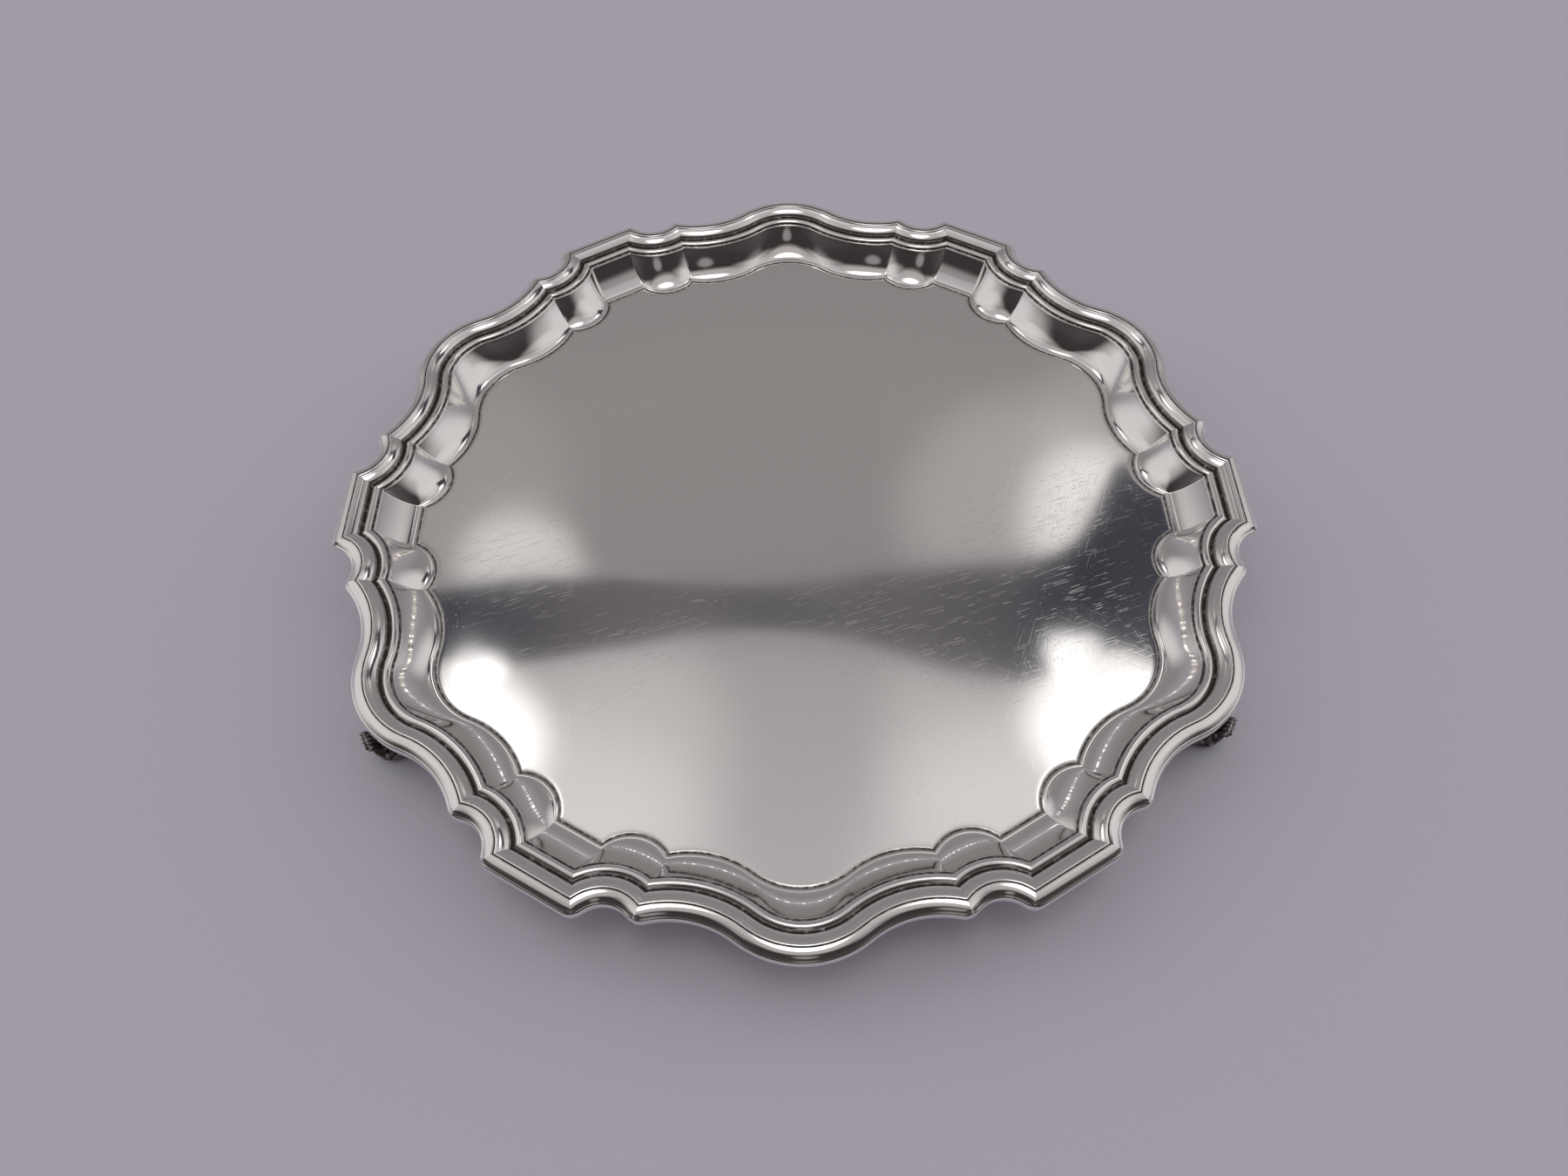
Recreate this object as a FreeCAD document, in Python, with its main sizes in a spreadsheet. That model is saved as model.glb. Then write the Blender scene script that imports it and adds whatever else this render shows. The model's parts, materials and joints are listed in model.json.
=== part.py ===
"""A three-footed silver salver with an ogee-and-notch moulded border, as an assembly of separate pieces.

The tray plate is one sheet raised from flat: a flat well, a hollow bouge that climbs from it, and a narrow
flange. Twenty-four lengths of cast moulding sit on the flange and meet in mitres: six ogee (bracket) lengths,
six straight lengths, and twelve notch lengths between them. Three cast scroll feet are soldered below.

Millimetres, +Z up. The origin is on the table plane, below the centre of the six-fold outline. The plan is
drawn for one sixth, whose middle is the crown of an ogee length, and turned round the centre.
"""
import FreeCAD, Part
import math
import os
import Sketcher
from FreeCAD import Vector

DRIVING = [
    ("sixths", 6, "repeats of the plan round the centre"),
    ("foot_height", 17.0, "table to the well's upper face"),
    ("sheet_thickness", 1.0, "the tray plate's sheet"),
    ("bouge_height", 7.5, "well to the flange's upper face"),
    ("bouge_hollow", 1.7, "power of the bouge's fall from the flange: 1 is a straight slope"),
    ("crown_reach", 127.3, "centre to the rim at an ogee's crown"),
    ("crown_arc", 25.5, "rim radius over the crown"),
    ("hollow_arc", 25.0, "rim radius of the hollows beside it"),
    ("tip_reach", 124.2, "centre to the rim's corner of ogee and notch"),
    ("tip_angle", 18.05, "that corner's angle from the crown"),
    ("notch_arc", 7.5, "rim radius of the notch"),
    ("side_reach", 127.6, "centre to the rim's corner of notch and straight"),
    ("side_angle", 23.9, "that corner's angle from the crown"),
    ("well_crown_reach", 108.0, "the same seven for the well's outline"),
    ("well_crown_arc", 19.8, ""),
    ("well_hollow_arc", 25.0, ""),
    ("well_tip_reach", 104.4, ""),
    ("well_tip_angle", 17.9, ""),
    ("well_notch_arc", 10.1, ""),
    ("well_side_reach", 107.7, ""),
    ("well_side_angle", 26.3, ""),
    ("border_width", 10.4, "rim to the moulding's inner foot"),
    ("skirt_width", 2.2, "the moulding's wall outside the flange"),
    ("skirt_drop", 1.3, "flange down to the skirt's lower edge"),
    ("wall_top", 0.85, "flange to the top of the outer wall"),
    ("shoulder_inset", 0.6, "rim to the shoulder above the wall"),
    ("shoulder_height", 1.4, "flange to that shoulder"),
    ("bead_inset", 3.45, "rim to the start of the bead's crest"),
    ("bead_height", 2.7, "flange to the bead's crest"),
    ("thread_width", 0.85, "the crest's width"),
    ("slope_width", 2.3, "the gentle slope inside the crest"),
    ("slope_foot", 1.35, "flange to that slope's lower edge"),
    ("groove_inset", 7.0, "rim to the groove inside the slope"),
    ("groove_width", 0.8, "the groove's width"),
    ("groove_height", 0.35, "flange to the groove's bottom"),
    ("reed_height", 0.85, "flange to the inner reed's crest"),
    ("foot_reach", 130.5, "centre to the tip of a foot's toe"),
    ("foot_width", 14.0, "a foot's knee across"),
    ("pad_width", 8.4, "a foot's pad across"),
    ("pad_length", 10.2, "the flat of a pad that stands on the table"),
    ("pad_inset", 2.8, "toe's tip back to the pad's flat"),
    ("pad_level", 3.5, "table to the pad's widest part"),
    ("neck_width", 5.6, "a foot's waist across"),
    ("waist_level", 7.4, "table to the waist"),
    ("toe_level", 13.0, "table to the top of a toe"),
    ("neck_level", 10.5, "table to the middle of a neck"),
    ("neck_inset", 14.0, "toe's tip back to the front of the neck"),
    ("back_inset", 19.6, "toe's tip back to the back of the neck"),
    ("knee_inset", 11.5, "toe's tip back to the knee"),
    ("heel_inset", 17.0, "toe's tip back to the heel"),
    ("heel_level", 4.0, "table to the top of the heel"),
    ("root_inset", 27.0, "toe's tip back to the foot's inner end below the plate"),
    ("knee_arc", 14.0, "radius of a knee, from the side"),
    ("instep_arc", 7.5, "radius of an instep, from the side"),
    ("toe_arc", 1.5, "radius of a toe's end"),
    ("shin_arc", 5.0, "radius of the hollow below the toe"),
    ("pad_arc", 9.0, "radius of a pad's front"),
    ("heel_arc", 4.2, "radius of a heel"),
    ("back_arc", 16.0, "radius of a foot's back"),
    ("waist_arc", 6.0, "radius below a waist, from the front"),
    ("flare_arc", 22.0, "radius above a waist, from the front"),
    ("feet", 3, "feet below every other ogee's crown"),
]


def make_sheet(doc):
    """The spreadsheet of driving sizes, one row each: alias, value, meaning."""
    sheet = doc.addObject("Spreadsheet::Sheet", "Sizes")
    for row, (alias, value, meaning) in enumerate(DRIVING, start=1):
        sheet.set(f"A{row}", alias)
        sheet.set(f"B{row}", str(value))
        sheet.set(f"C{row}", meaning)
        sheet.setAlias(f"B{row}", alias)
    doc.recompute()
    return sheet


def polar(reach, degrees):
    """A plan point of the sixth: x runs along the rim, y runs out through the crown."""
    turn = math.radians(degrees)
    return Vector(reach * math.sin(turn), reach * math.cos(turn), 0)


def circles_meet(centre_a, radius_a, centre_b, radius_b, near):
    """The crossing of two circles that lies closer to a given point."""
    along = centre_b - centre_a
    gap = along.Length
    along.normalize()
    reach = (radius_a**2 - radius_b**2 + gap**2) / (2 * gap)
    across = math.sqrt(max(0.0, radius_a**2 - reach**2))
    side = Vector(-along.y, along.x, 0)
    middle = centre_a + along * reach
    return min((middle + side * across, middle - side * across), key=lambda p: p.distanceToPoint(near))


# Mouldings are made this much too long, in degrees and millimetres, and cut back to their mitres.
SPARE_TURN = 12
SPARE_LENGTH = 6
# A point this far out along a notch's middle, in degrees from the crown, picks the notch circle's outer side.
NOTCH_ANGLE = 21
# A cut's side is told by a point this many millimetres off its plane.
SIDE_STEP = 10
# The plate's underside stands this share of the sheet's thickness outside the well's outline.
WELL_GROWTH = 0.4
BOUGE_LEVELS = 5
FIRST_FOOT = 90
# Rises of the moulding's arcs, as shares of their chords.
SHOULDER_BULGE = 0.12
BEAD_BULGE = 0.09
SLOPE_BULGE = 0.05


class Outline:
    """One closed plan outline of arcs and lines: crown, two hollows, two notches and a straight per sixth."""

    def __init__(self, sheet, prefix=""):
        def size(name):
            return float(getattr(sheet, prefix + name))

        self.crown_radius = size("crown_arc")
        self.hollow_radius = size("hollow_arc")
        self.notch_radius = size("notch_arc")
        self.crown_centre = Vector(0, size("crown_reach") - self.crown_radius, 0)
        self.tip = polar(size("tip_reach"), size("tip_angle"))
        side = polar(size("side_reach"), size("side_angle"))
        self.hollow_centre = circles_meet(
            self.crown_centre,
            self.crown_radius + self.hollow_radius,
            self.tip,
            self.hollow_radius,
            self.tip + Vector(0, self.hollow_radius, 0),
        )
        self.notch_centre = circles_meet(
            self.tip, self.notch_radius, side, self.notch_radius, polar(2 * side.Length, NOTCH_ANGLE)
        )
        self.step = -360 / sheet.sixths
        self.out = polar(1, -self.step / 2)
        self.along = Vector(-self.out.y, self.out.x, 0)
        self.straight_reach = side.dot(self.out)

    def half(self, inset):
        """Corner and middle points of half a sixth, moved inwards by an inset, from the crown on."""
        crown_radius = self.crown_radius - inset
        hollow_radius = self.hollow_radius + inset
        notch_radius = self.notch_radius + inset
        to_hollow = self.hollow_centre - self.crown_centre
        to_hollow.normalize()
        top = self.crown_centre + Vector(0, crown_radius, 0)
        turn = self.crown_centre + to_hollow * crown_radius
        tip = circles_meet(self.hollow_centre, hollow_radius, self.notch_centre, notch_radius, self.tip)
        foot = self.out * (self.straight_reach - inset)
        depth = self.notch_centre.dot(self.out) - foot.Length
        spread = math.sqrt(notch_radius**2 - depth**2)
        side = foot + self.along * (self.notch_centre.dot(self.along) - spread)
        return {
            "top": top,
            "turn": turn,
            "hollow": middle_of_arc(self.hollow_centre, turn, tip),
            "tip": tip,
            "notch": middle_of_arc(self.notch_centre, tip, side),
            "side": side,
        }

    def sixth(self, inset):
        """Start, middle and end of every edge of a sixth, from the far tip's hollow round to the straight."""
        right = self.half(inset)
        left = {name: Vector(-p.x, p.y, 0) for name, p in right.items()}
        turned = FreeCAD.Rotation(Vector(0, 0, 1), self.step)
        next_side = turned.multVec(left["side"])
        return [
            ("ogee", left["tip"], left["hollow"], left["turn"]),
            ("ogee", left["turn"], right["top"], right["turn"]),
            ("ogee", right["turn"], right["hollow"], right["tip"]),
            ("notch", right["tip"], right["notch"], right["side"]),
            ("straight", right["side"], (right["side"] + next_side) / 2, next_side),
            ("notch", next_side, turned.multVec(left["notch"]), turned.multVec(left["tip"])),
        ]


def middle_of_arc(centre, start, end):
    """The middle of the shorter arc about a centre."""
    middle = (start + end) / 2 - centre
    middle.normalize()
    return centre + middle * start.distanceToPoint(centre)


def edge_through(start, middle, end):
    """A line where the three points are in line, otherwise an arc."""
    if abs((middle - start).cross(end - start).z) < 1e-6:
        return Part.makeLine(start, end)
    return Part.Arc(start, middle, end).toShape()


def closed_wire(sheet, edges, height):
    """The whole outline at a height, from one sixth's edges."""
    up = Vector(0, 0, height)
    wire = []
    for number in range(int(sheet.sixths)):
        turned = FreeCAD.Rotation(Vector(0, 0, 1), -number * 360 / sheet.sixths)
        for _, *points in edges:
            wire.append(edge_through(*(turned.multVec(p) + up for p in points)))
    return Part.Wire(wire)


def blend(edges_a, edges_b, share):
    """A sixth part-way between two outlines with the same edges."""
    return [
        (kind, *(p + (q - p) * share for p, q in zip(a, b)))
        for (kind, *a), (_, *b) in zip(edges_a, edges_b)
    ]


def dish(sheet, rim_edges, well_edges, well_height):
    """The filled shape of the bouge's surface: flange outline above, well outline below."""
    wires = []
    for level in range(BOUGE_LEVELS):
        share = 1 - level / (BOUGE_LEVELS - 1)
        fall = (1 - share) ** sheet.bouge_hollow
        edges = blend(rim_edges, well_edges, share)
        wires.append(closed_wire(sheet, edges, well_height + sheet.bouge_height * fall))
    return Part.makeLoft(wires, True, False)


def plate_core(sheet, rim, well):
    """The tray plate with its hollow filled: the flange, and the bouge one sheet out and one sheet down."""
    grown = sheet.sheet_thickness
    flange_wire = closed_wire(sheet, rim.sixth(sheet.skirt_width), sheet.foot_height + sheet.bouge_height)
    flange = Part.Face(flange_wire).extrude(Vector(0, 0, -grown))
    outer = rim.sixth(sheet.border_width - grown)
    bouge = dish(sheet, outer, well.sixth(-grown * WELL_GROWTH), sheet.foot_height - grown)
    return flange.fuse(bouge)


def tray_plate(sheet, rim, well):
    """Flat well, hollow bouge and flange, all one sheet thick."""
    hollow = dish(sheet, rim.sixth(sheet.border_width), well.sixth(0), sheet.foot_height)
    return plate_core(sheet, rim, well).cut(hollow).removeSplitter()


def bulge(start, end, share):
    """An arc from start to end that rises to the right of the way by a share of the chord."""
    chord = end - start
    side = Vector(chord.y, -chord.x, 0)
    return Part.Arc(start, (start + end) / 2 + side * share, end).toShape()


def moulding_section(sheet):
    """Closed outline of the border moulding as (inset from the rim, height above the flange)."""
    wall_foot = Vector(0, -sheet.skirt_drop, 0)
    wall_top = Vector(0, sheet.wall_top, 0)
    shoulder = Vector(sheet.shoulder_inset, sheet.shoulder_height, 0)
    crest = Vector(sheet.bead_inset, sheet.bead_height, 0)
    thread_end = crest + Vector(sheet.thread_width, 0, 0)
    groove = Vector(sheet.groove_inset, sheet.groove_height, 0)
    slope_end = Vector(thread_end.x + sheet.slope_width, sheet.slope_foot, 0)
    reed_start = groove + Vector(sheet.groove_width, 0, 0)
    reed_end = Vector(sheet.border_width, 0, 0)
    reed_crest = Vector((reed_start.x + reed_end.x) / 2, sheet.reed_height, 0)
    inner_top = Vector(sheet.skirt_width, 0, 0)
    inner_foot = Vector(sheet.skirt_width, -sheet.skirt_drop, 0)
    return [
        Part.makeLine(wall_foot, wall_top),
        bulge(wall_top, shoulder, -SHOULDER_BULGE),
        bulge(shoulder, crest, -BEAD_BULGE),
        Part.makeLine(crest, thread_end),
        bulge(thread_end, slope_end, -SLOPE_BULGE),
        Part.makeLine(slope_end, groove),
        Part.makeLine(groove, reed_start),
        Part.Arc(reed_start, reed_crest, reed_end).toShape(),
        Part.makeLine(reed_end, inner_top),
        Part.makeLine(inner_top, inner_foot),
        Part.makeLine(inner_foot, wall_foot),
    ]


def section_face(sheet, at, outward):
    """The moulding's section stood up at a rim point, facing along the rim."""
    face = Part.Face(Part.Wire(moulding_section(sheet)))
    base = at + Vector(0, 0, sheet.foot_height + sheet.bouge_height)
    side = Vector(0, 0, 1).cross(outward)
    frame = FreeCAD.Matrix(
        -outward.x, 0, side.x, base.x,
        -outward.y, 0, side.y, base.y,
        0, 1, 0, base.z,
        0, 0, 0, 1,
    )
    return face.transformGeometry(frame) if frame.determinant() < 0 else face.transformed(frame)


def turned_length(sheet, centre, start, sweep, bulging):
    """A length of moulding revolved about an arc's centre, through a sweep in degrees."""
    outward = start - centre if bulging else centre - start
    outward.normalize()
    return section_face(sheet, start, outward).revolve(centre, Vector(0, 0, 1), sweep)


def mitre_block(outer_corner, inner_corner, away, size=60):
    """A block on one side of a mitre plane; the plane stands on the line through both corners."""
    along = outer_corner - inner_corner
    along.normalize()
    across = Vector(-along.y, along.x, 0)
    if across.dot(away - outer_corner) < 0:
        across = across * -1
    low = outer_corner - along * size + Vector(0, 0, -size)
    corners = [low, low + along * 2 * size, low + along * 2 * size + across * size, low + across * size]
    return Part.Face(Part.makePolygon(corners + corners[:1])).extrude(Vector(0, 0, 3 * size))


def angle_between(centre, start, end):
    """Signed turn in degrees from one point to another about a centre, anticlockwise positive."""
    a = math.atan2(start.y - centre.y, start.x - centre.x)
    b = math.atan2(end.y - centre.y, end.x - centre.x)
    return math.degrees((b - a + math.pi) % (2 * math.pi) - math.pi)


def ogee_length(sheet, rim):
    """Crown arc with a hollow at each side, mitred at both tips."""
    outer = rim.half(0)
    inner = rim.half(sheet.border_width)
    crown_sweep = 2 * angle_between(rim.crown_centre, outer["turn"], outer["top"])
    crown = turned_length(sheet, rim.crown_centre, outer["turn"], crown_sweep, True)
    hollow_sweep = angle_between(rim.hollow_centre, outer["turn"], outer["tip"]) + SPARE_TURN
    hollow = turned_length(sheet, rim.hollow_centre, outer["turn"], hollow_sweep, False)
    hollow = hollow.cut(mitre_block(outer["tip"], inner["tip"], outer["tip"] + Vector(SIDE_STEP, 0, 0)))
    other = hollow.mirror(Vector(0, 0, 0), Vector(1, 0, 0))
    return crown.fuse([hollow, other]).removeSplitter()


def notch_length(sheet, rim):
    """Notch arc, mitred to the ogee length at one end and to the straight length at the other."""
    outer = rim.half(0)
    inner = rim.half(sheet.border_width)
    sweep = angle_between(rim.notch_centre, outer["tip"], outer["side"])
    spare = math.copysign(SPARE_TURN, sweep)
    back = FreeCAD.Placement(Vector(), FreeCAD.Rotation(Vector(0, 0, 1), -spare), rim.notch_centre)
    start = back.multVec(outer["tip"])
    arc = turned_length(sheet, rim.notch_centre, start, sweep + 2 * spare, False)
    arc = arc.cut(mitre_block(outer["tip"], inner["tip"], outer["tip"] - Vector(SIDE_STEP, 0, 0)))
    return arc.cut(mitre_block(outer["side"], inner["side"], outer["side"] - rim.along * SIDE_STEP))


def straight_length(sheet, rim):
    """Straight moulding between two notches, mitred at both ends."""
    outer = rim.half(0)
    inner = rim.half(sheet.border_width)
    start = outer["side"] + rim.along * SPARE_LENGTH
    middle = rim.out * rim.straight_reach
    half = section_face(sheet, start, rim.out).extrude(middle - start)
    half = half.cut(mitre_block(outer["side"], inner["side"], outer["side"] + rim.along * SIDE_STEP))
    return half.fuse(half.mirror(Vector(0, 0, 0), rim.along)).removeSplitter()


def origin_plane(body, role):
    """One of a body's own origin planes, found by its role."""
    return next(plane for plane in body.Origin.OriginFeatures if plane.Role == role)


def hold_point(sketch, geometry, end, name, axis, expression, value):
    """Pins one coordinate of a sketch point: onto the axis where it is zero, otherwise by a bound distance."""
    if value == 0:
        sketch.addConstraint(Sketcher.Constraint("PointOnObject", geometry, end, -1 if axis == "Y" else -2))
        return
    index = sketch.addConstraint(Sketcher.Constraint(f"Distance{axis}", -1, 1, geometry, end, value))
    sketch.renameConstraint(index, name)
    sketch.setExpression(f"Constraints.{name}", expression)


def bound_sketch(body, name, role, corners):
    """A closed sketch on an origin plane. Each corner is (x, y, radius to the next corner, bend).

    x, y and radius are expressions of the sheet's cells. A radius of None is a line; bend is +1 where the arc
    turns left on the way to the next corner, and -1 where it turns right.
    """
    sketch = body.newObject("Sketcher::SketchObject", name)
    sketch.AttachmentSupport = [(origin_plane(body, role), "")]
    sketch.MapMode = "FlatFace"

    def value_of(expression):
        return float(sketch.evalExpression(expression))

    places = [Vector(value_of(x), value_of(y), 0) for x, y, _, _ in corners]
    ends = []
    for index, (x, y, radius, bend) in enumerate(corners):
        start = places[index]
        end = places[(index + 1) % len(places)]
        if radius is None:
            geometry = sketch.addGeometry(Part.LineSegment(start, end))
        else:
            size = value_of(radius)
            chord = end - start
            rise = size - math.sqrt(size**2 - chord.Length**2 / 4)
            side = Vector(chord.y, -chord.x, 0).normalize() * bend
            geometry = sketch.addGeometry(Part.Arc(start, (start + end) / 2 + side * rise, end))
            ring = sketch.addConstraint(Sketcher.Constraint("Radius", geometry, size))
            sketch.renameConstraint(ring, f"radius_{index}")
            sketch.setExpression(f"Constraints.radius_{index}", radius)
        first = 1 if sketch.getPoint(geometry, 1).distanceToPoint(start) < 1e-6 else 2
        ends.append((geometry, first, 3 - first))
    for index, (x, y, _, _) in enumerate(corners):
        geometry, first, _ = ends[index]
        before, _, last = ends[index - 1]
        sketch.addConstraint(Sketcher.Constraint("Coincident", before, last, geometry, first))
        hold_point(sketch, geometry, first, f"x_{index}", "X", x, places[index].x)
        hold_point(sketch, geometry, first, f"y_{index}", "Y", y, places[index].y)
    return sketch


def back_from_toe(cell):
    """A reach that lies one of the sheet's insets behind the tip of the toe, as an expression."""
    return f"<<Sizes>>.foot_reach - <<Sizes>>.{cell}"


# The side view, from the foot's inner end over the knee, instep, toe, shin, pad and heel. The toe's end runs from
# 80 degrees above level to 50 degrees below, so that it reaches foot_reach.
FOOT_PROFILE = [
    (back_from_toe("root_inset"), "<<Sizes>>.foot_height + 1.5", None, 0),
    (back_from_toe("knee_inset"), "<<Sizes>>.foot_height + 7", None, 0),
    (back_from_toe("knee_inset"), "<<Sizes>>.foot_height + 3", "<<Sizes>>.knee_arc", -1),
    (back_from_toe("neck_inset"), "<<Sizes>>.neck_level", "<<Sizes>>.instep_arc", 1),
    (
        "<<Sizes>>.foot_reach - <<Sizes>>.toe_arc * (1 - cos(80 deg))",
        "<<Sizes>>.toe_level",
        "<<Sizes>>.toe_arc",
        -1,
    ),
    (
        "<<Sizes>>.foot_reach - <<Sizes>>.toe_arc * (1 - cos(50 deg))",
        "<<Sizes>>.toe_level - <<Sizes>>.toe_arc * (sin(80 deg) + sin(50 deg))",
        "<<Sizes>>.shin_arc",
        1,
    ),
    ("<<Sizes>>.foot_reach - <<Sizes>>.toe_arc", "<<Sizes>>.waist_level", "<<Sizes>>.pad_arc", -1),
    (back_from_toe("pad_inset"), "0", None, 0),
    ("<<Sizes>>.foot_reach - <<Sizes>>.pad_inset - <<Sizes>>.pad_length", "0", "<<Sizes>>.heel_arc", -1),
    (back_from_toe("heel_inset"), "<<Sizes>>.heel_level", None, 0),
    (back_from_toe("back_inset"), "<<Sizes>>.neck_level", "<<Sizes>>.back_arc", 1),
]
# The front view's half outline, cut away outside it.
FOOT_SIDE = [
    ("<<Sizes>>.pad_width / 2", "-1", None, 0),
    ("<<Sizes>>.pad_width / 2", "<<Sizes>>.pad_level", "<<Sizes>>.waist_arc", -1),
    ("<<Sizes>>.neck_width / 2", "<<Sizes>>.waist_level", "<<Sizes>>.flare_arc", 1),
    ("<<Sizes>>.foot_width / 2", "<<Sizes>>.foot_height + 2", None, 0),
    ("<<Sizes>>.foot_width / 2", "<<Sizes>>.foot_height + 9", None, 0),
    ("<<Sizes>>.foot_width", "<<Sizes>>.foot_height + 9", None, 0),
    ("<<Sizes>>.foot_width", "-1", None, 0),
]


def scroll_foot(doc, label, core, turn):
    """A cast foot: S-scroll profile, waisted from the front, fitted to the plate's underside."""
    body = doc.addObject("PartDesign::Body", f"{label}_blank")
    profile = bound_sketch(body, f"{label}_profile", "XZ_Plane", FOOT_PROFILE)
    pad = body.newObject("PartDesign::Pad", f"{label}_pad")
    pad.Profile = profile
    pad.SideType = "Symmetric"
    pad.setExpression("Length", "<<Sizes>>.foot_width")
    doc.recompute()
    solid_before = body.Shape.Volume
    side = bound_sketch(body, f"{label}_side", "YZ_Plane", FOOT_SIDE)
    waist = body.newObject("PartDesign::Pocket", f"{label}_waist")
    waist.Profile = side
    waist.SideType = "Symmetric"
    waist.setExpression("Length", "<<Sizes>>.foot_reach * 3")
    doc.recompute()
    both = body.newObject("PartDesign::Mirrored", f"{label}_waists")
    both.Originals = [waist]
    both.MirrorPlane = (origin_plane(body, "XZ_Plane"), [""])
    body.Tip = both
    doc.recompute()
    assert body.Shape.Volume < solid_before
    body.Placement = FreeCAD.Placement(Vector(), FreeCAD.Rotation(Vector(0, 0, 1), turn))
    foot = doc.addObject("Part::Cut", label)
    foot.Base = body
    foot.Tool = core
    foot.Label = label
    return foot


def add_piece(doc, label, shape, turn):
    """A Part::Feature with its own label, turned round the salver's centre."""
    piece = doc.addObject("Part::Feature", label)
    piece.Label = label
    piece.Shape = shape
    piece.Placement = FreeCAD.Placement(Vector(), FreeCAD.Rotation(Vector(0, 0, 1), turn))
    return piece


def failed(obj):
    """Is a document object in error, or a shape missing or broken?"""
    if {"Invalid", "Error"} & set(obj.State):
        return True
    shape = getattr(obj, "Shape", None)
    return obj.isDerivedFrom("Part::Feature") and (shape is None or shape.isNull() or not shape.isValid())


def write_parts(doc, pieces):
    """Checks every object, then writes one STEP file per piece, named by its label."""
    doc.recompute()
    broken = [obj.Name for obj in doc.Objects if failed(obj)]
    if broken:
        raise RuntimeError(f"failed objects: {broken}")
    os.makedirs("parts", exist_ok=True)
    for piece in pieces:
        if len(piece.Shape.Solids) != 1:
            raise RuntimeError(f"{piece.Label} has {len(piece.Shape.Solids)} solids")
        piece.Shape.exportStep(os.path.join("parts", f"{piece.Label}.step"))
        print(f"{piece.Label}: {piece.Shape.Volume:.1f} mm3")


def main():
    doc = FreeCAD.newDocument("Salver")
    sheet = make_sheet(doc)
    rim = Outline(sheet)
    well = Outline(sheet, "well_")
    pieces = [add_piece(doc, "tray_plate", tray_plate(sheet, rim, well), 0)]
    step = 360 / sheet.sixths
    ogee = ogee_length(sheet, rim)
    notch = notch_length(sheet, rim)
    other_notch = notch.mirror(Vector(0, 0, 0), Vector(1, 0, 0))
    straight = straight_length(sheet, rim)
    for number in range(int(sheet.sixths)):
        turn = number * step
        pieces.append(add_piece(doc, f"border_ogee_{number + 1}", ogee, turn))
        pieces.append(add_piece(doc, f"border_notch_{number + 1}a", notch, turn))
        pieces.append(add_piece(doc, f"border_notch_{number + 1}b", other_notch, turn))
        pieces.append(add_piece(doc, f"border_straight_{number + 1}", straight, turn))
    core = add_piece(doc, "core", plate_core(sheet, rim, well), 0)
    for number in range(int(sheet.feet)):
        turn = FIRST_FOOT + number * 360 / sheet.feet
        pieces.append(scroll_foot(doc, f"scroll_foot_{number + 1}", core, turn))
    write_parts(doc, pieces)


main()
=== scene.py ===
"""The looks of a three-footed silver salver: raised plate, mitred border mouldings and cast leaf feet.

Lengths are metres unless a name says MM. The plan is drawn for one sixth of the salver, whose middle is the
crown of an ogee length; x runs along the rim there and y out through the crown.
"""
import bpy
import json
import math
import numpy as np
from mathutils import Matrix, Vector, noise


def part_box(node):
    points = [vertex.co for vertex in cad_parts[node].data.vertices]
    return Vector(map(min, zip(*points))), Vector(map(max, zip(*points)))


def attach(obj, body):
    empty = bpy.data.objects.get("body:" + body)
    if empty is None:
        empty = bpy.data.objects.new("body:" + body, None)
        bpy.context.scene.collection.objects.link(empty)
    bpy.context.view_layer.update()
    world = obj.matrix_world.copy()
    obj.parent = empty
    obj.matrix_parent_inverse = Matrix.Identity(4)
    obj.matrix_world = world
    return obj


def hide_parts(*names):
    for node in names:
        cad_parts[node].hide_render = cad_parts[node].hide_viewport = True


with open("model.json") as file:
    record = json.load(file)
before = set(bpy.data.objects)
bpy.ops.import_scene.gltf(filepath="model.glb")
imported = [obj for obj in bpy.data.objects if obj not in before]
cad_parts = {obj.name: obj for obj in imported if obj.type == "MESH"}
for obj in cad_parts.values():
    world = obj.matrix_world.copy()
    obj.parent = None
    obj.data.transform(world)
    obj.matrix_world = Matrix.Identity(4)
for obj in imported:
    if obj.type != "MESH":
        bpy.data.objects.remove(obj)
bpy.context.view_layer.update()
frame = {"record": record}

MM = 0.001
SIXTHS = 6
MOUNTS = {mount["name"]: mount for mount in frame["record"]["mounts"]}
WELL_LEVEL = MOUNTS["tray_top"]["pos_m"][2]
SHEET = 1.0 * MM
BORDER_WIDTH = 10.4 * MM
SKIRT_WIDTH = 2.2 * MM
BOUGE_HOLLOW = 1.7
FLANGE_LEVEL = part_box("tray_plate")[1][2]
UNDER_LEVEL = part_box("tray_plate")[0][2]
BOUGE_RISE = FLANGE_LEVEL - WELL_LEVEL
NOTCH_ANGLE = 21
FAR_OUT_MM = 250


# ---------------------------------------------------------------- plan outlines

def polar(reach_mm, degrees):
    """A plan point of the sixth, by its reach from the centre and its angle from the crown."""
    turn = math.radians(degrees)
    return np.array([math.sin(turn), math.cos(turn)]) * reach_mm * MM


def circles_meet(centre_a, radius_a, centre_b, radius_b, near):
    """The crossing of two circles that is closer to a given point."""
    along = centre_b - centre_a
    gap = np.linalg.norm(along)
    along = along / gap
    reach = (radius_a**2 - radius_b**2 + gap**2) / (2 * gap)
    across = math.sqrt(max(0.0, radius_a**2 - reach**2)) * np.array([-along[1], along[0]])
    middle = centre_a + along * reach
    return min((middle + across, middle - across), key=lambda p: np.linalg.norm(p - near))


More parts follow.
